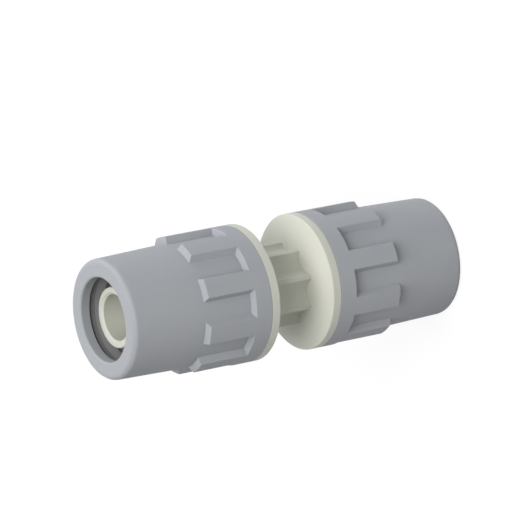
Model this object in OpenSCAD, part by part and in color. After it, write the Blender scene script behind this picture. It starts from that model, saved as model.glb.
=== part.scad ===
// Straight coupling for plastic pipe, with two castellated screw caps.
// The pipe axis is Z and the origin is the middle of the body. All sizes are in millimetres.

/* [Pipe] */
// Outside diameter of the pipe
pipe_d = 16; // [14:0.5:20]
// Wall thickness of the pipe
pipe_wall = 2; // [1.8:0.1:2.2]
// Gap between the pipe and the mouth of the cap, on the radius
lip_clear = 0.2; // [0.1:0.05:0.4]
// Gap between the pipe and the threaded sleeve around it, on the radius
sleeve_clear = 0.3; // [0.2:0.05:0.5]
// Gap between the nozzle and the inside of the pipe, on the radius
nozzle_clear = 0.1; // [0.05:0.01:0.15]

/* [Body] */
// Wall of the nozzle that the pipe is pushed over
nozzle_wall = 1.4; // [1.3:0.1:1.8]
// How far the end of the nozzle lies behind the face of the cap
nozzle_setback = 2.6; // [1.5:0.1:5]
// Rounding of the end of the nozzle
nozzle_round = 0.3; // [0.1:0.05:0.4]
// Bevel inside the end of the nozzle
nozzle_bevel = 0.4; // [0.2:0.05:0.6]
// Distance between the rims of the two flanges
hub_len = 12; // [10:0.5:20]
// Thickness of the fluted hub, from the waterway to the lands
hub_wall = 3.5; // [3:0.25:5]
// Number of flutes round the hub
flute_count = 8; // [6:1:10]
// Width of the land between two flutes
flute_land = 0.9; // [0.6:0.1:1.4]
// Depth of a flute below the straight line between its lands
flute_scoop = 1.1; // [0.5:0.1:1.4]
// Turn of the flutes against the ribs of the caps, in degrees
flute_turn = 4.5; // [0:0.1:22]
// Thickness of a flange at its rim
flange_t = 1.85; // [1.4:0.05:3]
// How much thicker a flange is at the hub than at its rim
flange_swell = 1.15; // [0.4:0.05:1.5]
// Rounding of the edge of a flange towards the hub
flange_round = 0.3; // [0.1:0.05:0.5]
// Wall of the sleeve under its thread
sleeve_wall = 1.6; // [1.3:0.1:2.2]
// Length of the sleeve from its flange
sleeve_len = 15.5; // [14:0.5:17]
// Height of the screw thread on the sleeve
thread_h = 0.85; // [0.6:0.05:1]
// Length of the plain shoulder that centres the cap at the flange
shoulder_len = 1.6; // [1:0.1:2]
// Thickness of the stop that the end of the pipe meets
stop_t = 1.2; // [0.8:0.1:2]

/* [O-rings] */
// Thickness of an O-ring
o_ring_t = 1.3; // [1.2:0.05:1.4]
// How far an O-ring stands out of the nozzle
o_ring_proud = 0.35; // [0.2:0.05:0.4]
// How much wider its groove is than an O-ring
groove_play = 0.3; // [0.1:0.05:0.5]
// Distance of the outer O-ring from the end of the nozzle
o_ring_setback = 8; // [6:0.5:10]
// Distance between the two O-rings
o_ring_pitch = 5; // [3:0.5:7]

/* [Cap] */
// Length of a cap
cap_len = 29.75; // [28:0.05:34]
// Wall of a cap between the ribs
cap_wall = 1.2; // [1:0.05:2]
// Width of the flat ring that the face of a cap shows round its mouth
nose_width = 3.47; // [3:0.01:4.5]
// Rounding of the outer edge of the face
nose_round = 1; // [0.4:0.1:1.5]
// Rounding of the mouth
mouth_round = 0.4; // [0.2:0.05:0.6]
// Length of the mouth
lip_len = 2.05; // [1.5:0.05:3]
// Length of the plain band at the flange
band_len = 3.6; // [2:0.1:6]
// How far the band and the ribs stand out of the cap
grip_h = 1.35; // [0.6:0.05:2]
// Number of grip ribs
rib_count = 9; // [6:1:12]
// Length of a grip rib from the band
rib_len = 10.3; // [6:0.1:14]
// Width of a grip rib across its top
rib_w = 3.75; // [3:0.05:4.5]
// Slope of the sides and ends of the grips, in degrees
grip_draft = 17; // [3:1:20]
// Rounding of the ends of the band and the ribs
grip_round = 0.15; // [0.1:0.05:0.5]
// Rounding of the two edges that meet where a cap is seated
seam_round = 0.1; // [0.05:0.05:0.3]
// Gap between the cap and the shoulder that centres it, on the radius
cap_clear = 0.1; // [0.05:0.01:0.1]
// Gap between the cap and its flange when it is screwed home
seat_gap = 0.05; // [0.05:0.01:0.3]

/* [Clamp ring] */
// Gap between the open teeth and the pipe, on the radius
tooth_clear = 0.05; // [0:0.01:0.1]
// Height of a tooth
tooth_h = 0.5; // [0.3:0.05:0.6]
// Number of teeth along the ring
tooth_count = 5; // [3:1:7]
// Plain length at each end of the teeth
tooth_margin = 1; // [0.6:0.1:1.5]
// Thickness of the ring behind its teeth, at the mouth
clamp_thin = 0.55; // [0.4:0.05:0.8]
// Thickness of the ring behind its teeth, at the sleeve
clamp_thick = 1.85; // [1.2:0.05:2]
// Gap between the ring and the cone inside the cap
cone_clear = 0.15; // [0.1:0.01:0.3]
// Gap between the ring and the sleeve
clamp_gap = 0.15; // [0.1:0.01:0.3]
// Gap between the ring and the lip of the cap
lip_gap = 0.4; // [0.2:0.05:0.8]
// Width of the split in the ring
split_w = 1.5; // [1:0.1:2.5]
// Number of short slits that let the ring close
slit_count = 5; // [3:1:7]
// Width of a short slit
slit_w = 0.9; // [0.6:0.1:1.5]
// Share of the ring's length that a short slit takes
slit_share = 0.6; // [0.3:0.05:0.8]

/* [Hidden] */
$fn = 96;

// How far a cutter runs past the face that it cuts
past = 1;
// Steps in one rounded edge
round_steps = 4;
// Share of a tooth's pitch that its long slope takes
tooth_back = 7 / 8;
// Slack of an O-ring in the bottom of its groove
groove_slack = 0.02;

// Radii from the waterway outwards
pipe_r = pipe_d / 2;
nozzle_r = pipe_r - pipe_wall - nozzle_clear;
water_r = nozzle_r - nozzle_wall;
hub_r = water_r + hub_wall;
sleeve_in_r = pipe_r + sleeve_clear;
thread_core_r = sleeve_in_r + sleeve_wall;
shoulder_r = thread_core_r + thread_h;
cap_bore_r = shoulder_r + cap_clear;
cap_base_r = cap_bore_r + cap_wall;
grip_r = cap_base_r + grip_h;
flange_r = grip_r;
lip_r = pipe_r + lip_clear;
nose_r = lip_r + nose_width;
tooth_tip_r = pipe_r + tooth_clear;
tooth_root_r = tooth_tip_r + tooth_h;
clamp_nose_r = tooth_root_r + clamp_thin;
clamp_base_r = tooth_root_r + clamp_thick;
groove_r = nozzle_r + o_ring_proud - o_ring_t - groove_slack;
o_ring_mid_r = nozzle_r + o_ring_proud - o_ring_t / 2;

// Heights above the middle of the body
rim_in_z = hub_len / 2;
rim_out_z = rim_in_z + flange_t;
stop_z = rim_out_z + stop_t;
shoulder_z = rim_out_z + shoulder_len;
sleeve_end_z = rim_out_z + sleeve_len;
cap_z = rim_out_z + seat_gap;
band_z = cap_z + band_len;
rib_end_z = band_z + rib_len;
taper_z = rib_end_z + grip_h * tan(grip_draft);
nose_z = cap_z + cap_len;
lip_z = nose_z - lip_len;
nozzle_end_z = nose_z - nozzle_setback;
clamp_z = sleeve_end_z + clamp_gap;
clamp_end_z = lip_z - lip_gap;
outer_o_ring_z = nozzle_end_z - o_ring_setback;
inner_o_ring_z = outer_o_ring_z - o_ring_pitch;

// Slope of the inner face of a flange, and where it would meet the core of the hub
swell_slope = flange_swell / (flange_r - hub_r);
hub_core_r = (water_r + hub_r) / 2 - flute_scoop / 2;
swell_z = rim_in_z - swell_slope * (flange_r - hub_core_r);

// A flute is a round cut through both of its lands
flute_pitch = 360 / flute_count;
flute_half_angle = flute_pitch / 2 - asin(flute_land / 2 / hub_r);
flute_chord = 2 * hub_r * sin(flute_half_angle);
flute_cut_r = (pow(flute_chord / 2, 2) + pow(flute_scoop, 2)) / (2 * flute_scoop);
flute_cut_x = hub_r * cos(flute_half_angle) - flute_scoop + flute_cut_r;

// Points of a rounded corner: centre, radius, first and last angle
function corner(c, r, a, b) = [
    for (i = [0:round_steps])
        let (t = a + (b - a) * i / round_steps)
        c + r * [cos(t), sin(t)]
];

// A half profile followed by its mirror image below the middle
function both_ways(half_points) = concat(
    half_points,
    [for (i = [len(half_points) - 1:-1:0]) [half_points[i][0], -half_points[i][1]]]
);

// Outline of the body above its middle, from the hub out to the end of the nozzle
function body_outline() = concat(
    [[hub_core_r, swell_z]],
    corner([flange_r - flange_round, rim_in_z + flange_round], flange_round, -90, 0),
    corner([flange_r - seam_round, rim_out_z - seam_round], seam_round, 0, 90),
    [
        [shoulder_r, rim_out_z],
        [shoulder_r, shoulder_z],
        [thread_core_r, shoulder_z + thread_h],
        [thread_core_r, sleeve_end_z],
        [sleeve_in_r, sleeve_end_z],
        [sleeve_in_r, stop_z],
        [nozzle_r, stop_z]
    ],
    o_ring_groove(inner_o_ring_z),
    o_ring_groove(outer_o_ring_z),
    corner([nozzle_r - nozzle_round, nozzle_end_z - nozzle_round], nozzle_round, 0, 90),
    [[0, nozzle_end_z]]
);

function o_ring_groove(z) =
    let (reach = (o_ring_t + groove_play) / 2)
    [
        [nozzle_r, z - reach],
        [groove_r, z - reach],
        [groove_r, z + reach],
        [nozzle_r, z + reach]
    ];

// The waterway, bevelled at both ends
module waterway() {
    rotate_extrude()
        polygon(both_ways([
            [water_r, nozzle_end_z - nozzle_bevel],
            [water_r + nozzle_bevel, nozzle_end_z],
            [water_r + nozzle_bevel, nozzle_end_z + past],
            [0, nozzle_end_z + past]
        ]));
}

module fluted_hub() {
    linear_extrude(height = 2 * rim_in_z + flange_t, center = true)
        rotate(flute_turn)
            difference() {
                circle(r = hub_r);
                for (i = [0:flute_count - 1])
                    rotate((i + 1 / 2) * flute_pitch)
                        translate([flute_cut_x, 0])
                            circle(r = flute_cut_r);
            }
}

// One moulding: the fluted hub, two flanges, two threaded sleeves and two nozzles
module fitting_body() {
    color([0.91, 0.91, 0.83])
        difference() {
            union() {
                rotate_extrude()
                    polygon(both_ways(body_outline()));
                fluted_hub();
            }
            waterway();
        }
}

// Section of a cap, from its open end round the outside to the mouth and back inside
function cap_outline() = concat(
    [[cap_bore_r, cap_z]],
    corner([grip_r - seam_round, cap_z + seam_round], seam_round, -90, 0),
    grip_end(band_z, cap_base_r),
    [[cap_base_r, taper_z]],
    corner([nose_r - nose_round, nose_z - nose_round], nose_round, 0, 90),
    corner([lip_r + mouth_round, nose_z - mouth_round], mouth_round, 90, 180),
    [
        [lip_r, lip_z],
        [clamp_nose_r + cone_clear, lip_z],
        [clamp_nose_r + cone_clear, clamp_end_z],
        [clamp_base_r + cone_clear, clamp_z],
        [cap_bore_r, clamp_z]
    ]
);

// End of a grip at a height: its rounded edge, and its sloping face down to a radius
function grip_end(z, foot_r) =
    let (edge = corner([grip_r - grip_round, z - grip_round], grip_round, 0, 90 - grip_draft))
    concat(
        edge,
        [[foot_r, edge[round_steps][1] + (edge[round_steps][0] - foot_r) * tan(grip_draft)]]
    );

// The ribs start inside the band
module rib_envelope() {
    rib_foot_r = cap_bore_r + cap_wall / 2;
    rotate_extrude()
        polygon(concat(
            [[rib_foot_r, cap_z + band_len / 2], [grip_r, cap_z + band_len / 2]],
            grip_end(rib_end_z, rib_foot_r)
        ));
}

// A rib narrows outwards to its width at the top
module rib_plan() {
    top_x = sqrt(pow(grip_r, 2) - pow(rib_w / 2, 2));
    foot_w = rib_w + 2 * top_x * tan(grip_draft);
    end_w = rib_w - 2 * past * tan(grip_draft);
    polygon([
        [0, -foot_w / 2],
        [top_x + past, -end_w / 2],
        [top_x + past, end_w / 2],
        [0, foot_w / 2]
    ]);
}

module cap_up() {
    color([0.63, 0.64, 0.66])
        union() {
            rotate_extrude()
                polygon(cap_outline());
            intersection() {
                rib_envelope();
                translate([0, 0, cap_z])
                    linear_extrude(height = taper_z - cap_z + past)
                        for (i = [0:rib_count - 1])
                            rotate(i * 360 / rib_count)
                                rib_plan();
            }
        }
}

// Section of the clamp ring, with its saw teeth pointing at the stop
function clamp_outline() =
    let (
        pitch = (clamp_end_z - clamp_z - 2 * tooth_margin) / tooth_count,
        first = clamp_z + tooth_margin
    )
    concat(
        [
            [tooth_root_r, clamp_z],
            [clamp_base_r, clamp_z],
            [clamp_nose_r, clamp_end_z],
            [tooth_root_r, clamp_end_z]
        ],
        [
            for (i = [tooth_count:-1:1])
                for (p = [[tooth_root_r, first + i * pitch], [tooth_tip_r, first + (i - tooth_back) * pitch]])
                    p
        ],
        [[tooth_root_r, first]]
    );

module clamp_ring_up() {
    ring_len = clamp_end_z - clamp_z;
    slit_len = slit_share * ring_len;
    color([0.32, 0.32, 0.34])
        difference() {
            rotate_extrude()
                polygon(clamp_outline());
            // The split faces -Y
            translate([-split_w / 2, -clamp_base_r - past, clamp_z - past])
                cube([split_w, clamp_base_r + past, ring_len + 2 * past]);
            for (i = [1:slit_count])
                rotate(-90 + i * 360 / (slit_count + 1))
                    translate([0, -slit_w / 2, clamp_z - past])
                        cube([clamp_base_r + past, slit_w, slit_len + past]);
        }
}

module o_ring(z) {
    color([0.1, 0.1, 0.1])
        translate([0, 0, z])
            rotate_extrude()
                translate([o_ring_mid_r, 0])
                    circle(d = o_ring_t, $fn = 32);
}

// The lower half is the upper half turned end for end
module turned() {
    rotate([180, 0, 0])
        children();
}

fitting_body();
cap_up();  // upper_cap
turned() cap_up();  // lower_cap
clamp_ring_up();  // upper_clamp_ring
turned() clamp_ring_up();  // lower_clamp_ring
o_ring(outer_o_ring_z);  // upper_outer_o_ring
o_ring(inner_o_ring_z);  // upper_inner_o_ring
turned() o_ring(outer_o_ring_z);  // lower_outer_o_ring
turned() o_ring(inner_o_ring_z);  // lower_inner_o_ring
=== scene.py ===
import math

import bpy
from mathutils import Matrix, Vector


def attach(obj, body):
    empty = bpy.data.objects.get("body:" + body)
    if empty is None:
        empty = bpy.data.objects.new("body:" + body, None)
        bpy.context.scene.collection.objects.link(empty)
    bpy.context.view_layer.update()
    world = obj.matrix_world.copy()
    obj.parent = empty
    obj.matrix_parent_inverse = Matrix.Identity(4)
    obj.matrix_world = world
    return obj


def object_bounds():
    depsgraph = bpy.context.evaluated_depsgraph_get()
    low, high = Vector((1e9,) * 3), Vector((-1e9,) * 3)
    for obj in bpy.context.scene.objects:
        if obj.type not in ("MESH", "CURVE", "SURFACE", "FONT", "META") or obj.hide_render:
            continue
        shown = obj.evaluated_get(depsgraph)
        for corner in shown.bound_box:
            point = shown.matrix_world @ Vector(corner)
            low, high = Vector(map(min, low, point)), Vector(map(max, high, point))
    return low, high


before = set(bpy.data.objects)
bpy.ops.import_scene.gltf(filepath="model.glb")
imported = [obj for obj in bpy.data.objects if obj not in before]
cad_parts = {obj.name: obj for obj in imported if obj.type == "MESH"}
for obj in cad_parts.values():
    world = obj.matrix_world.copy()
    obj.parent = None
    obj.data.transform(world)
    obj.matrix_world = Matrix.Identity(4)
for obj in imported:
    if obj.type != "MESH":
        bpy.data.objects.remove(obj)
cad_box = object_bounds()
bpy.ops.object.select_all(action="DESELECT")


# The fitting body is one cream polypropylene moulding: a fluted hub between two flanges, with a
# nozzle and a threaded sleeve on each side. Its skin is matte, with the fine spark-eroded grain of
# the mould and very faint flow marks along the way that the plastic filled it.
FLOW_MARKS_PER_METRE = 900
FLOW_MARK_THICKNESS_TO_LENGTH = 0.12
NOISE_MIDDLE = 0.5


def moulded_skin():
    """The skin of a moulding: grain, soft blotches of tone and flow marks along the pipe axis."""
    group = bpy.data.node_groups.new("moulded_skin", "ShaderNodeTree")
    for name, kind, value in (
        ("Colour", "NodeSocketColor", (0.5, 0.5, 0.5, 1)),
        ("Blotch tone", "NodeSocketFloat", 0.03),
        ("Blotches per metre", "NodeSocketFloat", 140),
        ("Flow tone", "NodeSocketFloat", 0.02),
        ("Grains per metre", "NodeSocketFloat", 5200),
        ("Grain height", "NodeSocketFloat", 0.5),
        ("Roughness", "NodeSocketFloat", 0.5),
        ("Roughness spread", "NodeSocketFloat", 0.06),
    ):
        socket = group.interface.new_socket(name, in_out="INPUT", socket_type=kind)
        socket.default_value = value
    for name, kind in (
        ("Colour", "NodeSocketColor"),
        ("Roughness", "NodeSocketFloat"),
        ("Height", "NodeSocketFloat"),
    ):
        group.interface.new_socket(name, in_out="OUTPUT", socket_type=kind)
    nodes, link = group.nodes, group.links.new
    given, out = nodes.new("NodeGroupInput"), nodes.new("NodeGroupOutput")
    place = nodes.new("ShaderNodeTexCoord")

    blotches = nodes.new("ShaderNodeTexNoise")
    blotches.inputs["Detail"].default_value = 3
    link(place.outputs["Object"], blotches.inputs["Vector"])
    link(given.outputs["Blotches per metre"], blotches.inputs["Scale"])

    along = nodes.new("ShaderNodeMapping")
    along.inputs["Scale"].default_value = (1, 1, FLOW_MARK_THICKNESS_TO_LENGTH)
    flow = nodes.new("ShaderNodeTexNoise")
    flow.inputs["Scale"].default_value = FLOW_MARKS_PER_METRE
    flow.inputs["Detail"].default_value = 2
    link(place.outputs["Object"], along.inputs["Vector"])
    link(along.outputs["Vector"], flow.inputs["Vector"])

    grain = nodes.new("ShaderNodeTexNoise")
    grain.inputs["Detail"].default_value = 2
    link(place.outputs["Object"], grain.inputs["Vector"])
    link(given.outputs["Grains per metre"], grain.inputs["Scale"])

    def math_node(operation, a, b):
        """The result of a Math node on two values, each a number or another node's output."""
        step = nodes.new("ShaderNodeMath")
        step.operation = operation
        for socket, value in zip(step.inputs, (a, b)):
            if isinstance(value, (int, float)):
                socket.default_value = value
            else:
                link(value, socket)
        return step.outputs[0]

    def swing(noise, amount):
        """The noise about zero, times the amount."""
        return math_node("MULTIPLY", math_node("SUBTRACT", noise.outputs["Fac"], NOISE_MIDDLE), amount)

    blotch_shift = swing(blotches, given.outputs["Blotch tone"])
    flow_shift = swing(flow, given.outputs["Flow tone"])
    tone = math_node("ADD", math_node("ADD", blotch_shift, flow_shift), 1)
    tinted = nodes.new("ShaderNodeVectorMath")
    tinted.operation = "SCALE"
    link(given.outputs["Colour"], tinted.inputs[0])
    link(tone, tinted.inputs["Scale"])
    link(tinted.outputs["Vector"], out.inputs["Colour"])

    rough_shift = swing(flow, given.outputs["Roughness spread"])
    link(math_node("ADD", given.outputs["Roughness"], rough_shift), out.inputs["Roughness"])
    link(math_node("MULTIPLY", grain.outputs["Fac"], given.outputs["Grain height"]), out.inputs["Height"])
    return group


def moulded_plastic(name, colour, specular, bump, **values):
    """A plastic with the moulded skin. Its specular level and bump depth are the same all over it."""
    material = bpy.data.materials.new(name)
    material.use_nodes = True
    nodes, link = material.node_tree.nodes, material.node_tree.links.new
    shader = nodes["Principled BSDF"]
    shader.inputs["Specular IOR Level"].default_value = specular
    skin = nodes.new("ShaderNodeGroup")
    skin.node_tree = bpy.data.node_groups.get("moulded_skin") or moulded_skin()
    skin.inputs["Colour"].default_value = (*colour, 1)
    for socket, value in values.items():
        skin.inputs[socket.replace("_", " ").capitalize()].default_value = value
    relief = nodes.new("ShaderNodeBump")
    relief.inputs["Distance"].default_value = bump
    link(skin.outputs["Height"], relief.inputs["Height"])
    link(skin.outputs["Colour"], shader.inputs["Base Color"])
    link(skin.outputs["Roughness"], shader.inputs["Roughness"])
    link(relief.outputs["Normal"], shader.inputs["Normal"])
    return material


def dress(piece, material):
    """Puts one material on every face of a piece or CAD node."""
    piece.data.materials.clear()
    piece.data.materials.append(material)


body_plastic = moulded_plastic(
    "body_plastic", colour=(0.587, 0.592, 0.532), specular=0.18, bump=0.00002, roughness=0.55
)
dress(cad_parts["fitting_body"], body_plastic)


# The screw thread on each sleeve of the body is a plain trapezoid ridge, moulded with the body. It
# has a pitch of 2 mm and is right-handed at both ends, and each end of the ridge fades into the
# sleeve over a quarter of a turn.
THREAD_PITCH = 0.002
SLEEVE_CORE_R, SLEEVE_CREST_R = 0.0099, 0.01075
SLEEVE_THREAD_START_Z = 0.0112
RIDGE_FOOT_WIDTH, RIDGE_CREST_WIDTH = 0.0012, 0.0004
RIDGE_SINK = 0.00005
FADE_TURNS, FADED_HEIGHT = 0.25, 0.05
STEPS_PER_TURN = 64
SMOOTH_BELOW = math.radians(30)


def thread_ridge(name, foot_r, crest_r, foot_z, turns):
    """A helical ridge from foot_r to crest_r, which starts at foot_z and climbs one pitch a turn."""
    sink = math.copysign(RIDGE_SINK, crest_r - foot_r)
    bpy.ops.mesh.primitive_plane_add(
        size=1, location=(foot_r, 0, foot_z), rotation=(math.pi / 2, 0, 0)
    )
    ridge = bpy.context.object
    ridge.name = ridge.data.name = name
    bpy.ops.object.transform_apply(location=False, rotation=True, scale=False)
    for corner in ridge.data.vertices:
        at_crest = (corner.co.x > 0) == (crest_r > foot_r)
        half_width = (RIDGE_CREST_WIDTH if at_crest else RIDGE_FOOT_WIDTH) / 2
        corner.co = (
            (crest_r - foot_r) if at_crest else -sink, 0, math.copysign(half_width, corner.co.z)
        )
    bpy.ops.object.transform_apply(location=True, rotation=False, scale=False)
    bpy.ops.object.mode_set(mode="EDIT")
    bpy.ops.mesh.select_all(action="SELECT")
    bpy.ops.mesh.delete(type="ONLY_FACE")
    bpy.ops.object.mode_set(mode="OBJECT")
    climb = ridge.modifiers.new("climb", "SCREW")
    climb.axis = "Z"
    climb.angle = 2 * math.pi
    climb.screw_offset = THREAD_PITCH
    climb.iterations = turns
    climb.steps = climb.render_steps = STEPS_PER_TURN
    climb.use_smooth_shade = False
    bpy.ops.object.modifier_apply(modifier=climb.name)

    # Both ends of the ridge sink into its wall, with an ease in and out
    for point in ridge.data.vertices:
        turn_share = math.atan2(point.co.y, point.co.x) / (2 * math.pi)
        turn_share = round(turn_share * STEPS_PER_TURN) / STEPS_PER_TURN
        climbed = (point.co.z - foot_z) / THREAD_PITCH
        climbed = turn_share + round(climbed - turn_share)
        shown = max(0, min(1, climbed / FADE_TURNS, (turns - climbed) / FADE_TURNS))
        shown = shown * shown * (3 - 2 * shown)
        height_share = FADED_HEIGHT + (1 - FADED_HEIGHT) * shown
        r = math.hypot(point.co.x, point.co.y)
        wanted_r = foot_r - sink + (r - foot_r + sink) * height_share
        point.co.x *= wanted_r / r
        point.co.y *= wanted_r / r
    bpy.ops.object.mode_set(mode="EDIT")
    bpy.ops.mesh.select_all(action="SELECT")
    bpy.ops.mesh.fill_holes(sides=4)
    bpy.ops.mesh.normals_make_consistent(inside=False)
    bpy.ops.object.mode_set(mode="OBJECT")
    bpy.ops.object.shade_smooth_by_angle(angle=SMOOTH_BELOW)
    return ridge


def turned_end_for_end(piece, name):
    """A copy of a piece of the upper half, turned about X to make that of the lower half."""
    bpy.ops.object.select_all(action="DESELECT")
    piece.select_set(True)
    bpy.context.view_layer.objects.active = piece
    bpy.ops.object.duplicate()
    twin = bpy.context.object
    twin.name = twin.data.name = name
    twin.rotation_euler = (math.pi, 0, 0)
    bpy.ops.object.transform_apply(location=False, rotation=True, scale=False)
    return twin


upper_sleeve_thread = thread_ridge(
    "upper_sleeve_thread", SLEEVE_CORE_R, SLEEVE_CREST_R, foot_z=SLEEVE_THREAD_START_Z, turns=5
)
lower_sleeve_thread = turned_end_for_end(upper_sleeve_thread, "lower_sleeve_thread")
for thread in (upper_sleeve_thread, lower_sleeve_thread):
    dress(thread, body_plastic)
    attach(thread, "body")


# The O-rings are black nitrile rubber, two in grooves on each nozzle, where they seal against the
# inside of the pipe. They are soft to look at, with the faint bloom that rubber gets in stock.
seal_rubber = moulded_plastic(
    "seal_rubber", colour=(0.012, 0.012, 0.013), specular=0.4, bump=0.00001,
    blotch_tone=0.5, blotches_per_metre=700, flow_tone=0, roughness=0.42, roughness_spread=0.2
)
for node in ("upper_outer_o_ring", "upper_inner_o_ring", "lower_outer_o_ring", "lower_inner_o_ring"):
    dress(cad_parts[node], seal_rubber)


# The clamp rings are dark grey acetal, split and slit so that the cone in the cap can close them
# on the pipe. Only their ends show, just behind the mouth of each cap.
clamp_plastic = moulded_plastic(
    "clamp_plastic", colour=(0.226, 0.222, 0.23), specular=0.3, bump=0.00001,
    blotch_tone=0.08, roughness=0.4
)
for node in ("upper_clamp_ring", "lower_clamp_ring"):
    dress(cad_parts[node], clamp_plastic)


# The caps are mid-grey polypropylene mouldings, each with a plain band, nine grip ribs and a cone
# towards its mouth. Their skin is duller than the body's, and their grain a little coarser.
cap_plastic = moulded_plastic(
    "cap_plastic", colour=(0.372, 0.385, 0.417), specular=0.14, bump=0.00003,
    blotch_tone=0.05, flow_tone=0.03, grains_per_metre=4200, roughness=0.62
)
for node in ("upper_cap", "lower_cap"):
    dress(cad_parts[node], cap_plastic)


# The thread inside each cap is moulded with it, and is the space between the ridges of the sleeve.
# It lies half a pitch from them, so the two slide past each other all the way as the cap turns.
CAP_BORE_R, CAP_CREST_R = 0.01085, 0.0100
CAP_THREAD_START_Z = SLEEVE_THREAD_START_Z - THREAD_PITCH / 2
upper_cap_thread = thread_ridge(
    "upper_cap_thread", CAP_BORE_R, CAP_CREST_R, foot_z=CAP_THREAD_START_Z, turns=6
)
lower_cap_thread = turned_end_for_end(upper_cap_thread, "lower_cap_thread")
for thread, cap in ((upper_cap_thread, "upper_cap"), (lower_cap_thread, "lower_cap")):
    dress(thread, cap_plastic)
    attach(thread, cap)


# The coupling stands on the face of its lower cap on a plain white table. To the camera the table
# is nearly white by itself, and the shadow of the coupling still shows on it. It lies a hair lower
# than the face, so that the two are never in one plane.
TABLE_SIDE, TABLE_DROP = 6, 0.00002
TABLE_GREY = (0.6, 0.6, 0.6, 1)
TABLE_GLOW, GLOW_SHARE = 1.15, 0.75
bpy.ops.mesh.primitive_plane_add(size=TABLE_SIDE, location=(0, 0, cad_box[0].z - TABLE_DROP))
table = bpy.context.object
table.name = "table"
table_white = bpy.data.materials.new("table_white")
table_white.use_nodes = True
nodes, link = table_white.node_tree.nodes, table_white.node_tree.links.new
nodes.remove(nodes["Principled BSDF"])
matte, glow, seen, share, mix = (
    nodes.new("ShaderNode" + kind) for kind in ("BsdfDiffuse", "Emission", "LightPath", "Math", "MixShader")
)
matte.inputs["Color"].default_value = TABLE_GREY
glow.inputs["Strength"].default_value = TABLE_GLOW
share.operation = "MULTIPLY"
share.inputs[1].default_value = GLOW_SHARE
link(seen.outputs["Is Camera Ray"], share.inputs[0])
link(share.outputs[0], mix.inputs["Fac"])
link(matte.outputs["BSDF"], mix.inputs[1])
link(glow.outputs["Emission"], mix.inputs[2])
link(mix.outputs["Shader"], nodes["Material Output"].inputs["Surface"])
dress(table, table_white)


# The studio is a faint even dome, white to the camera and in reflections, and four large soft
# lamps: a key over the upper cap, tipped to the camera, a second on the side that is uppermost in
# the picture, and two weak fills, one beside the key and one behind the coupling.
DOME_COLOUR, DOME_STRENGTH = (0.97, 0.985, 1, 1), 0.1
PLAIN_WHITE = (1, 1, 1, 1)
WARM_LIGHT, COOL_LIGHT = (1, 1, 0.96), (0.99, 0.995, 1)
LAMP_DISTANCE, LAMP_SIDE = 0.9, 0.6
room = bpy.data.worlds.new("studio")
bpy.context.scene.world = room
room.use_nodes = True
nodes, link = room.node_tree.nodes, room.node_tree.links.new
dome, white, path, camera_or_gloss, any_white, mix = (
    nodes.new("ShaderNode" + kind)
    for kind in ("Background", "Background", "LightPath", "Math", "Math", "MixShader")
)
dome.inputs["Color"].default_value = DOME_COLOUR
dome.inputs["Strength"].default_value = DOME_STRENGTH
white.inputs["Color"].default_value = PLAIN_WHITE
camera_or_gloss.operation = any_white.operation = "MAXIMUM"
link(path.outputs["Is Camera Ray"], camera_or_gloss.inputs[0])
link(path.outputs["Is Glossy Ray"], camera_or_gloss.inputs[1])
link(camera_or_gloss.outputs[0], any_white.inputs[0])
link(path.outputs["Is Transmission Ray"], any_white.inputs[1])
link(any_white.outputs[0], mix.inputs["Fac"])
link(dome.outputs["Background"], mix.inputs[1])
link(white.outputs["Background"], mix.inputs[2])
link(mix.outputs["Shader"], nodes["World Output"].inputs["Surface"])

for direction, watts, colour in (
    ((0, -0.55, 1), 7.1, WARM_LIGHT),
    ((0.9, 0.5, 0.3), 4.85, COOL_LIGHT),
    ((0.5, -0.4, 1), 2.1, COOL_LIGHT),
    ((-0.35, 1, 0.15), 2.2, COOL_LIGHT),
):
    lamp_from = Vector(direction).normalized() * LAMP_DISTANCE
    bpy.ops.object.light_add(type="AREA", location=lamp_from)
    lamp = bpy.context.object
    lamp.rotation_euler = lamp_from.to_track_quat("Z", "Y").to_euler()
    lamp.data.size = LAMP_SIDE
    lamp.data.energy = watts
    lamp.data.color = colour


# The camera looks a little down on the coupling from in front, and is tipped over so that the
# pipe axis lies across the picture, with the upper cap at the left. It stands where the circles
# and outlines of the coupling in the photograph put it.
CAMERA_PLACE = (0.016569, -0.712173, 0.436533)
CAMERA_RIGHT = Vector((-0.182567, -0.514138, -0.838052))
CAMERA_UP = Vector((0.983121, -0.085130, -0.161943))
LENS_MM, SENSOR_MM = 304.59, 36
NEAREST, FARTHEST = 0.01, 20
camera_turn = Matrix((CAMERA_RIGHT, CAMERA_UP, CAMERA_RIGHT.cross(CAMERA_UP))).transposed()
bpy.ops.object.camera_add(location=CAMERA_PLACE, rotation=camera_turn.to_euler())
camera = bpy.context.object
camera.data.lens, camera.data.sensor_width = LENS_MM, SENSOR_MM
camera.data.clip_start, camera.data.clip_end = NEAREST, FARTHEST
bpy.context.scene.camera = camera
bpy.context.scene.view_settings.view_transform = "Standard"
